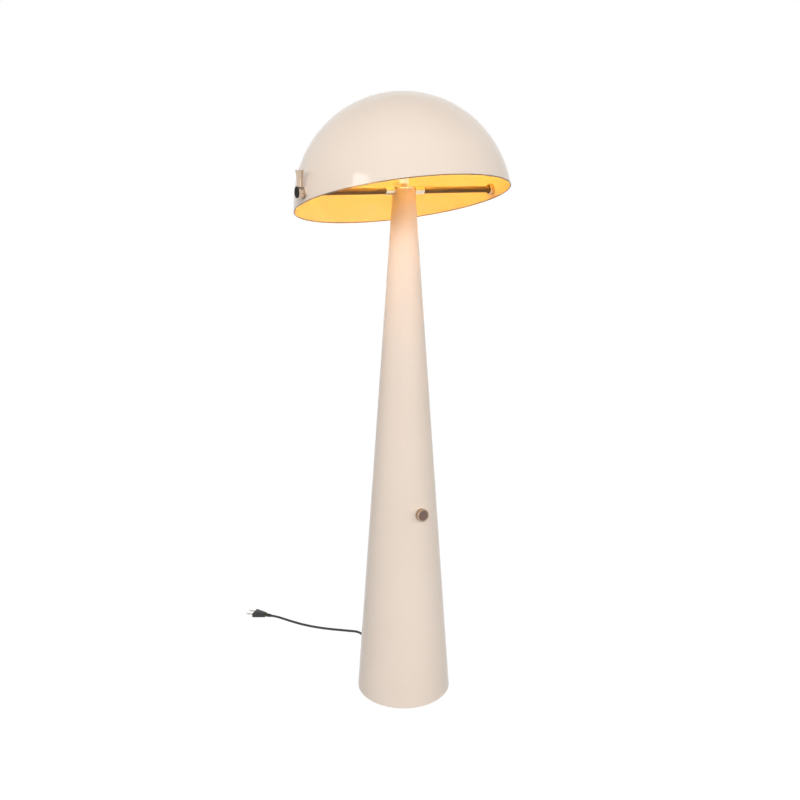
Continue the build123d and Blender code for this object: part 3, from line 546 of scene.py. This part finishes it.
@dataclass
class Shade:
    """The dome with its rim trim and the hubs that it turns on."""

    enamel: Finish
    # The rim trim's dark bronze is partly its own colour and partly painted shade: it keeps the rim's edge
    # dark as its shadow would.
    trim: Finish = Finish("bronze_trim", (0.24, 0.17, 0.10), 0.32, PAINT, 900.0, 0.4, 0.000004, 1.0)
    hub: Finish = Finish(
        "hub_bronze", (0.62, 0.50, 0.36), 0.2, LATHE, 1500.0, 0.4, 0.000004, 1.0, way=Way.CROSSWISE,
        middle=BAR_MIDDLE,
    )
    nylon: Finish = Finish("bush_nylon", (0.80, 0.78, 0.72), 0.4, GRAIN, 2400.0, 0.3, 0.00002)
    fibre: Finish = Finish("washer_fibre", (0.17, 0.10, 0.06), 0.7, GRAIN, 2200.0, 0.5, 0.00004)
    steel: Finish = Finish(
        "pivot_steel", (0.56, 0.55, 0.54), 0.26, LATHE, 1600.0, 0.5, 0.00001, 1.0, way=Way.CROSSWISE,
        middle=BAR_MIDDLE,
    )

    def build(self) -> None:
        """Dresses the dome, its trim and its hubs."""
        dress(self.enamel, "shade_dome")
        dress(self.trim, "rim_trim")
        dress(self.enamel, "hub_bolts")
        dress(self.hub, "hub_nuts")
        dress(self.nylon, "pivot_bushes")
        dress(self.fibre, "friction_washers")
        dress(self.steel, "thrust_washers", "pivot_stud_left", "pivot_stud_right")
        log.info("shade dressed")


@dataclass
class Clamps:
    """The knobs at both ends of the bar, with their levers and dark end discs."""

    nickel: Finish = Finish(
        "warm_nickel", (0.60, 0.45, 0.34), 0.14, LATHE, 1500.0, 0.5, 0.000004, 1.0, way=Way.CROSSWISE,
        middle=BAR_MIDDLE,
    )
    disc: Finish = Finish(
        "black_disc", (0.014, 0.012, 0.011), 0.45, LATHE, 1500.0, 0.4, 0.000006, index=1.15,
        way=Way.CROSSWISE, middle=BAR_MIDDLE,
    )

    def build(self) -> None:
        """Dresses both clamps."""
        for side in ("left", "right"):
            x = node_middle(f"clamp_lever_{side}")[0]
            lever = Finish(
                f"warm_nickel_lever_{side}", (0.66, 0.53, 0.42), 0.10, LATHE, 1500.0, 0.5, 0.000004, 1.0,
                middle=(x, 0.0, 0.0),
            )
            dress(self.nickel, f"clamp_knob_{side}")
            dress(lever, f"clamp_lever_{side}")
            dress(self.disc, f"knob_cap_{side}")
        log.info("clamps dressed")


@dataclass
class Dimmer:
    """The dimmer's knob on the front of the column."""

    seat: Point = (0.0, -0.074282, 0.4546)

    def build(self) -> None:
        """Dresses the knob, its face and its spindle."""
        rim = Finish(
            "dimmer_bronze", (0.50, 0.38, 0.28), 0.2, LATHE, 1500.0, 0.5, 0.000005, 1.0, way=Way.DIMMER,
            middle=self.seat,
        )
        face = Finish(
            "dimmer_face", (0.19, 0.12, 0.095), 0.34, LATHE, 1300.0, 0.5, 0.00001, 0.35, way=Way.DIMMER,
            middle=self.seat,
        )
        dress(rim, "dimmer_knob", "dimmer_shaft")
        dress(face, "dimmer_cap")
        log.info("dimmer dressed")


@dataclass
class Bulb:
    """The lampholder and the lit bulb."""

    # The holder's white plastic glows a little: painted light, standing in for the bulb's light thrown
    # back onto it from inside the shade.
    white: Finish = Finish(
        "white_plastic_painted_glow", (0.84, 0.80, 0.68), 0.22, PAINT, 900.0, 0.25, 0.000006, glow=0.45
    )
    glaze: Finish = Finish("core_glaze", (0.80, 0.78, 0.73), 0.25, PAINT, 700.0, 0.3, 0.00001)
    brass: Finish = Finish("holder_brass", (0.70, 0.54, 0.27), 0.26, LATHE, 1500.0, 0.6, 0.00001, 1.0)
    nickel: Finish = Finish("cap_nickel", (0.70, 0.69, 0.67), 0.24, LATHE, 1500.0, 0.5, 0.00001, 1.0)
    glass: Finish = Finish(
        "bulb_envelope", (1.0, 0.98, 0.95), 0.02, PAINT, 300.0, 0.1, 0.0, clear=1.0, index=1.45
    )
    strip: Finish = Finish("light_strip", (1.0, 0.62, 0.20), 0.5, GRAIN, 1800.0, 0.2, 0.00002, glow=30.0)

    def build(self) -> None:
        """Dresses the lampholder and the bulb."""
        dress(self.white, "holder_cup", "holder_skirt")
        dress(self.glaze, "holder_core")
        dress(self.brass, "holder_socket", "lamp_nipple", "nipple_nut")
        dress(self.nickel, "bulb_cap")
        dress(self.glass, "bulb_glass", "bulb_stem")
        dress(self.strip, "bulb_filaments")
        log.info("lampholder and bulb dressed")


@dataclass
class MainsCord:
    """The black mains cord from the boot at the foot, through its put-away coil, to the plug.

    The route repeats the one that the solids follow, in metres.
    """

    radius: float = 0.003
    floor: float = 0.00305
    coil_top: float = 0.00965
    coil_radius: float = 0.0474
    coil_pitch: float = 0.0066
    coil_turns: int = 7
    coil_start: tuple[float, float] = (0.012, 0.221)
    steps: int = 16
    length: float = 1.955
    plug_lift: float = 0.00685
    plug_length: float = 0.036
    plug_width: float = 0.0315
    plug_thickness: float = 0.0132
    plug_edge: float = 0.0032
    plug_taper: tuple[float, float] = (0.74, 0.46)
    boot_length: float = 0.014
    boot_ribs_count: int = 6
    boot_rib_radius: float = 0.0041
    boot_rib_growth: float = 0.0008
    boot_rib_depth: float = 0.0006
    relief_start: float = 0.1145
    relief_tip: float = 0.1375
    relief_height: float = 0.016
    relief_rings: int = 8
    relief_ring_radius: float = 0.00555
    relief_ring_taper: float = 0.00125
    relief_ring_thickness: float = 0.0007
    jacket: Finish = Finish("cord_jacket", (0.018, 0.018, 0.019), 0.42, GRAIN, 1600.0, 0.5, 0.00003)
    moulding: Finish = Finish("plug_plastic", (0.02, 0.02, 0.021), 0.38, GRAIN, 2200.0, 0.5, 0.00003)
    pin: Finish = Finish("pin_nickel", (0.62, 0.61, 0.60), 0.24, LATHE, 1600.0, 0.5, 0.000006, 1.0)

    def lead(self) -> list[Point]:
        """Returns the route from the boot's tip to the coil."""
        return [
            (0.0, 0.140, self.relief_height),
            (0.0, 0.160, self.relief_height),
            (0.012, 0.195, self.floor),
            (0.012, 0.215, self.floor),
        ]

    def coil(self) -> list[Point]:
        """Returns the coil's route: in on the floor, up in the innermost half turn, and out again."""
        count = self.coil_turns * self.steps
        spread = 1 / math.cos(math.pi / self.steps)
        x, y = self.coil_start[0] + self.coil_radius, self.coil_start[1]
        route = []
        for number in range(count + 1):
            turns = number / self.steps
            radius = self.coil_radius - min(turns, self.coil_turns - turns) * self.coil_pitch
            if 0 < number < count:
                radius *= spread
            climb = min(max(2 * (turns - self.coil_turns / 2) + 0.5, 0.0), 1.0)
            angle = math.pi - turns * 2 * math.pi
            height = self.floor + climb * (self.coil_top - self.floor)
            route.append((x + radius * math.cos(angle), y + radius * math.sin(angle), height))
        return route

    def run(self) -> list[Point]:
        """Returns the route from the coil to the plug."""
        return [
            (0.012, 0.227, self.coil_top),
            (0.012, 0.243, self.coil_top),
            (0.009, 0.2625, 0.006),
            (-0.0035, 0.279, self.floor),
            (-0.020, 0.2935, self.floor),
            (-0.0385, 0.3085, self.floor),
            (-0.059, 0.328, self.floor),
            (-0.0795, 0.350, self.floor),
            (-0.098, 0.3745, self.floor),
            (-0.1135, 0.3995, self.floor),
            (-0.129, 0.423, 0.0046),
            (-0.1425, 0.4405, self.plug_lift),
            (-0.1535, 0.4525, self.plug_lift),
        ]

    def curve(self) -> bpy.types.Object:
        """Returns the cord as one smooth curve."""
        points = self.lead() + self.coil() + self.run()
        data = bpy.data.curves.new("mains_cord", "CURVE")
        data.dimensions = "3D"
        data.bevel_depth = self.radius
        data.bevel_resolution = 5
        data.resolution_u = 6
        data.use_fill_caps = True
        spline = data.splines.new("NURBS")
        spline.points.add(len(points) - 1)
        for point, place in zip(spline.points, points):
            point.co = (*place, 1.0)
        spline.order_u = 3
        spline.use_endpoint_u = True
        cord = bpy.data.objects.new("mains_cord", data)
        bpy.context.scene.collection.objects.link(cord)
        return cord

    def plug_matrix(self) -> Matrix:
        """Returns the plug's place: its origin where the cord enters it, and Z along the cord."""
        before, end = (Vector(point) for point in self.run()[-2:])
        along = (end - before).normalized()
        up = Vector((0, 0, 1))
        across = along.cross(up)
        turn = Matrix((up, across, along)).transposed().to_4x4()
        return Matrix.Translation(end) @ turn

    def plug(self) -> bpy.types.Object:
        """Returns the plug's moulding: a flat body with rounded corners and a ribbed boot."""
        boot_length = self.boot_length
        Bench.clear()
        bpy.ops.mesh.primitive_cube_add(size=1, location=(0, 0, boot_length + self.plug_length / 2))
        body = bpy.context.object
        body.scale = (self.plug_thickness, self.plug_width, self.plug_length)
        bpy.ops.object.transform_apply(location=True, rotation=True, scale=True)
        bpy.ops.object.mode_set(mode="EDIT")
        bpy.ops.mesh.select_all(action="DESELECT")
        bpy.ops.object.mode_set(mode="OBJECT")
        for face in body.data.polygons:
            face.select = face.normal.z < -0.5
        bpy.ops.object.mode_set(mode="EDIT")
        bpy.ops.transform.resize(value=(*self.plug_taper, 1), center_override=(0, 0, boot_length))
        bpy.ops.mesh.select_all(action="SELECT")
        bpy.ops.mesh.bevel(offset=self.plug_edge, segments=4, affect="EDGES")
        bpy.ops.mesh.normals_make_consistent(inside=False)
        bpy.ops.object.mode_set(mode="OBJECT")
        ribs = self.boot_ribs_count
        rings = [(0.0034, 0.0)]
        for number in range(ribs):
            low = boot_length * number / ribs
            step = boot_length / ribs
            radius = self.boot_rib_radius + self.boot_rib_growth * number / ribs
            rings += [
                (radius, low + 0.15 * step),
                (radius, low + 0.6 * step),
                (radius - self.boot_rib_depth, low + 0.7 * step),
                (radius - self.boot_rib_depth, low + step),
            ]
        rings.append((0.0046, boot_length + 0.003))
        boot = Bench.turned("plug_boot", rings, 32)
        plug = Bench.join([body, boot], "plug_moulding")
        Bench.place(plug, self.plug_matrix())
        Bench.smooth(plug, 35)
        return plug

    def boot_ribs(self) -> bpy.types.Object:
        """Returns the raised rings round the strain relief's tapered boot."""
        rings = []
        for number in range(self.relief_rings):
            share = number / (self.relief_rings - 1)
            along = self.relief_start + (self.relief_tip - self.relief_start) * share
            Bench.clear()
            bpy.ops.mesh.primitive_torus_add(
                major_segments=40,
                minor_segments=10,
                major_radius=self.relief_ring_radius - self.relief_ring_taper * share,
                minor_radius=self.relief_ring_thickness,
                location=(0, along, self.relief_height),
                rotation=(math.pi / 2, 0, 0),
            )
            ring = bpy.context.object
            bpy.ops.object.transform_apply(location=True, rotation=True, scale=True)
            rings.append(ring)
        ribs = Bench.join(rings, "boot_ribs")
        Bench.smooth(ribs, 60)
        return ribs

    def build(self) -> None:
        """Makes the cord, its plug and its boot."""
        dress(self.moulding, "strain_relief")
        dress(self.pin, "plug_pins")
        ribs = self.boot_ribs()
        Bench.finish(ribs, self.moulding, FIXED_BODY, "black_rubber")
        plug = self.plug()
        Bench.finish(plug, self.moulding, FIXED_BODY, "black_plastic", ["plug_body"])
        cord = self.curve()
        Bench.finish(cord, self.jacket, FIXED_BODY, "black_rubber", ["cord_lead", "cord_coil", "cord_run"])


# The studio


@dataclass
class Softbox:
    """A rectangular lamp that faces the object."""

    name: str
    azimuth: float
    elevation: float
    distance: float
    width: float
    height: float
    strength: float
    aim: Point = (0.0, 0.0, 1.1)

    def build(self) -> None:
        """Makes the lamp. Its power gives its face the radiance that strength says."""
        data = bpy.data.lights.new(self.name, "AREA")
        data.shape = "RECTANGLE"
        data.size, data.size_y = self.width, self.height
        data.energy = self.strength * math.pi * self.width * self.height
        lamp = bpy.data.objects.new(self.name, data)
        turn, rise = math.radians(self.azimuth), math.radians(self.elevation)
        way = Vector((math.cos(turn) * math.cos(rise), math.sin(turn) * math.cos(rise), math.sin(rise)))
        lamp.location = Vector(self.aim) + way * self.distance
        lamp.rotation_euler = way.to_track_quat("Z", "Y").to_euler()
        bpy.context.scene.collection.objects.link(lamp)


@dataclass(frozen=True)
class Glow:
    """A soft patch of the studio's walls that lights the lamp."""

    azimuth: float
    elevation: float
    level: float
    focus: float

    def strength(self, weave: Weave, way: bpy.types.NodeSocket) -> bpy.types.NodeSocket:
        """Adds the patch to the world.

        Args:
            weave: The world's tree.
            way: The direction that a ray looks in.

        Returns:
            The patch's light in that direction.
        """
        turn, rise = math.radians(self.azimuth), math.radians(self.elevation)
        facing = weave.add("VectorMath", operation="DOT_PRODUCT")
        weave.join(way, facing.inputs[0])
        facing.inputs[1].default_value = (
            math.cos(turn) * math.cos(rise), math.sin(turn) * math.cos(rise), math.sin(rise)
        )
        front = weave.sum("MAXIMUM", facing.outputs["Value"], 0.0)
        return weave.sum("MULTIPLY", weave.sum("POWER", front, self.focus), self.level)


@dataclass
class Studio:
    """The floor, the soft light, the bulb's own light and the camera."""

    floor_size: float = 40.0
    floor_glow: float = 0.98
    floor_colour: float = 0.06
    low_light: float = 0.03
    glows: tuple[Glow, ...] = (
        Glow(azimuth=-118.0, elevation=27.5, level=19.4, focus=44.0),
        Glow(azimuth=160.0, elevation=11.0, level=2.2, focus=14.0),
        Glow(azimuth=-42.0, elevation=11.0, level=4.2, focus=14.0),
        Glow(azimuth=62.0, elevation=8.0, level=2.6, focus=6.0),
    )
    bulb_place: Point = (0.0, 0.0, 1.2611)
    bulb_reach: float = 0.034
    bulb_power: float = 13.0
    bulb_colour: Colour = (1.0, 0.56, 0.07)
    backdrop_levels: tuple[tuple[float, float], ...] = ((0.0, 1.0), (0.55, 1.0), (0.8, 0.5), (1.0, 0.3))
    camera_place: Point = (-0.95372, -1.64193, 1.1948)
    camera_dip: float = 14.732
    camera_turn: float = -29.9
    camera_lens: float = 40.48
    camera_sensor: float = 36.0
    softboxes: list[Softbox] = field(
        default_factory=lambda: [
            Softbox("left_softbox", -167.0, 23.0, 3.2, 0.92, 0.85, 9.5, (-0.17, -0.13, 1.16)),
            Softbox("side_light", -148.0, 7.5, 3.0, 0.40, 0.55, 4.5),
            Softbox("front_light", -83.0, 6.0, 3.2, 0.45, 0.62, 4.0),
        ]
    )

    @staticmethod
    def backdrop_rays(weave: Weave) -> bpy.types.NodeSocket:
        """Returns a mask of the rays that see the backdrop: from the camera, in metal or through glass."""
        path = weave.add("LightPath")
        seen = weave.sum("MAXIMUM", path.outputs["Is Camera Ray"], path.outputs["Is Glossy Ray"])
        return weave.sum("MAXIMUM", seen, path.outputs["Is Transmission Ray"])

    def floor(self) -> None:
        """Makes the pale floor, which is white with the lamp's faint shadow on it."""
        Bench.clear()
        bpy.ops.mesh.primitive_plane_add(size=self.floor_size, location=(0, 0, 0))
        floor = bpy.context.object
        floor.name = "studio_floor"
        material = bpy.data.materials.new("studio_white")
        material.use_nodes = True
        tree = material.node_tree
        tree.nodes.clear()
        weave = Weave(tree)
        matt = weave.add("BsdfDiffuse")
        matt.inputs["Color"].default_value = (self.floor_colour, self.floor_colour, self.floor_colour, 1.0)
        light = weave.add("Emission")
        glow = weave.sum("MULTIPLY", self.backdrop_rays(weave), self.floor_glow)
        weave.join(glow, light.inputs["Strength"])
        both = weave.add("AddShader")
        weave.join(matt.outputs[0], both.inputs[0])
        weave.join(light.outputs[0], both.inputs[1])
        end = weave.add("OutputMaterial")
        weave.join(both.outputs[0], end.inputs["Surface"])
        floor.data.materials.append(material)

    @staticmethod
    def levels(
        weave: Weave, height: bpy.types.NodeSocket, stops: Sequence[tuple[float, float]]
    ) -> bpy.types.NodeSocket:
        """Adds a ramp of grey levels.

        Args:
            weave: The tree.
            height: The value that picks the level.
            stops: (value, level) of each stop, from value 0 to value 1.

        Returns:
            The level.
        """
        ramp = weave.add("ValToRGB")
        elements = ramp.color_ramp.elements
        for end, (_, level) in ((elements[0], stops[0]), (elements[1], stops[-1])):
            end.color = (level, level, level, 1.0)
        for place, level in stops[1:-1]:
            elements.new(place).color = (level, level, level, 1.0)
        weave.join(height, ramp.inputs[0])
        return ramp.outputs["Color"]

    def world(self) -> None:
        """Makes the room's soft light, strongest from the front, and its white backdrop."""
        world = bpy.data.worlds.new("studio_world")
        bpy.context.scene.world = world
        world.use_nodes = True
        tree = world.node_tree
        tree.nodes.clear()
        weave = Weave(tree)
        way = weave.add("TexCoord").outputs["Generated"]
        split = weave.add("SeparateXYZ")
        weave.join(way, split.inputs[0])
        level = self.low_light
        for glow in self.glows:
            level = weave.sum("ADD", level, glow.strength(weave, way))
        room = weave.add("Background")
        weave.join(level, room.inputs["Strength"])
        backdrop = weave.add("Background")
        white = self.levels(weave, split.outputs["Z"], self.backdrop_levels)
        weave.join(white, backdrop.inputs["Color"])
        blend = weave.add("MixShader")
        weave.join(self.backdrop_rays(weave), blend.inputs[0])
        weave.join(room.outputs[0], blend.inputs[1])
        weave.join(backdrop.outputs[0], blend.inputs[2])
        end = weave.add("OutputWorld")
        weave.join(blend.outputs[0], end.inputs["Surface"])

    def bulb_light(self) -> None:
        """Makes the light that the lit bulb gives."""
        data = bpy.data.lights.new("bulb_light", "POINT")
        data.energy = self.bulb_power
        data.color = self.bulb_colour
        data.shadow_soft_size = self.bulb_reach
        lamp = bpy.data.objects.new("bulb_light", data)
        lamp.visible_glossy = False
        lamp.location = self.bulb_place
        bpy.context.scene.collection.objects.link(lamp)

    def camera(self) -> None:
        """Makes the camera at the photograph's point of view."""
        data = bpy.data.cameras.new("photo_camera")
        data.sensor_fit = "HORIZONTAL"
        data.sensor_width = self.camera_sensor
        data.lens = self.camera_lens
        data.clip_end = 60.0
        camera = bpy.data.objects.new("photo_camera", data)
        camera.location = self.camera_place
        tilt, turn = math.radians(90 - self.camera_dip), math.radians(self.camera_turn)
        camera.rotation_euler = (tilt, 0.0, turn)
        bpy.context.scene.collection.objects.link(camera)
        bpy.context.scene.camera = camera

    def build(self) -> None:
        """Makes the whole studio."""
        bpy.context.scene.view_settings.view_transform = "Standard"
        self.floor()
        self.world()
        self.bulb_light()
        self.camera()
        for softbox in self.softboxes:
            softbox.build()
        log.info("studio built")


def main() -> None:
    """Dresses the lamp and builds the studio round it."""
    logging.basicConfig(level=logging.INFO, format="%(name)s: %(message)s")
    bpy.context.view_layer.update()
    Bench.clear()
    column = Column()
    column.build()
    CrossBar().build()
    Shade(enamel=column.enamel).build()
    Clamps().build()
    Dimmer().build()
    Bulb().build()
    MainsCord().build()
    Studio().build()


if __name__ == "__main__":
    main()
